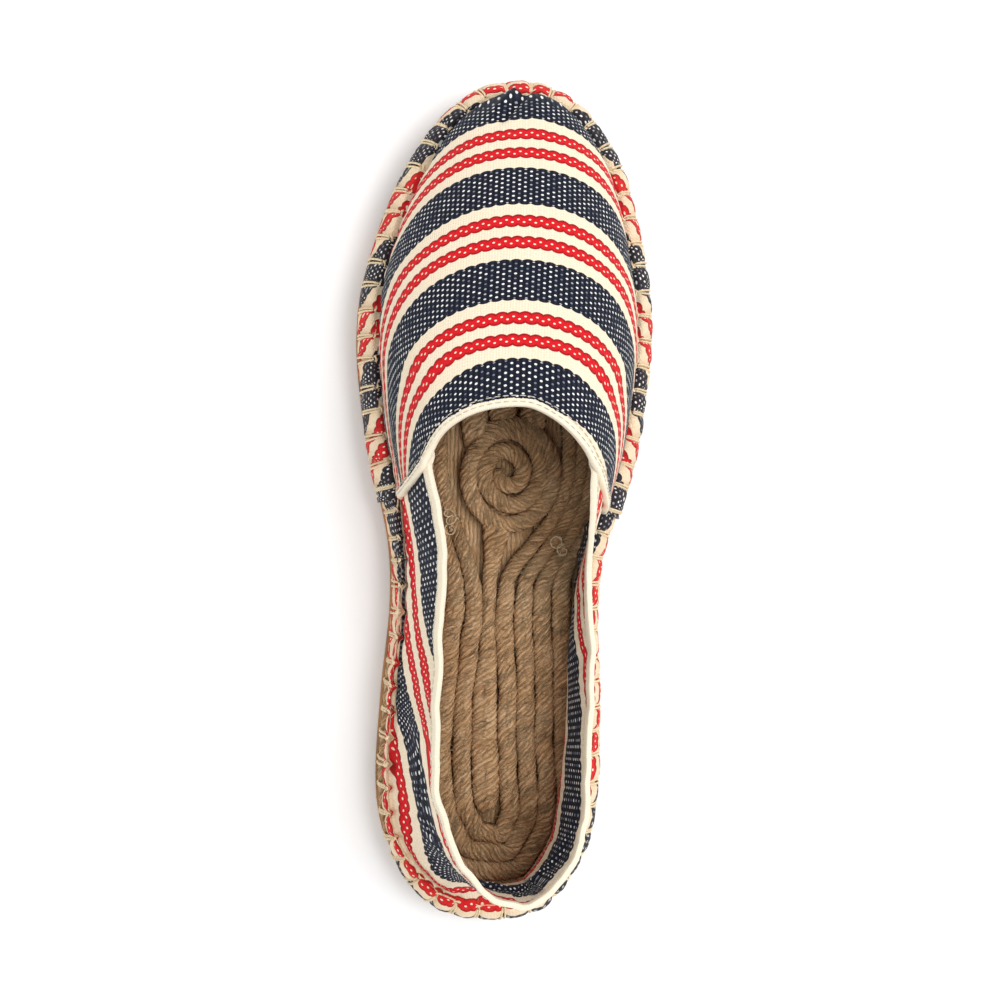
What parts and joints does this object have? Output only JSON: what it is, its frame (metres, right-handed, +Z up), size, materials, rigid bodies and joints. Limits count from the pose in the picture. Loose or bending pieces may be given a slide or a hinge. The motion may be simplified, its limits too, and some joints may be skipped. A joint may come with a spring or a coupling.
{
  "type": "espadrille",
  "caption": "Flat slip-on shoe: striped canvas vamp and quarter sewn over the shoulder of a plaited jute sole with a thin rubber outsole.",
  "frame": {"origin": "middle of the shoe's outline at floor level", "axes": "+Z up, toe towards -Y, little-toe side towards +X"},
  "size_m": [0.0943, 0.2648, 0.0633],
  "materials": {
    "striped_canvas": "woven stripes of navy with pale dots, cream and red, matt",
    "jute": "natural jute, plaited and wound, matt and hairy",
    "outsole_rubber": "gum rubber, matt with a fine tread",
    "cream_tape": "folded cotton tape, matt",
    "natural_thread": "twisted natural thread, slightly waxed"
  },
  "bodies": {
    "root": {"upper": "striped_canvas", "jute_sole": "jute", "rubber_outsole": "outsole_rubber"}
  },
  "joints": []
}
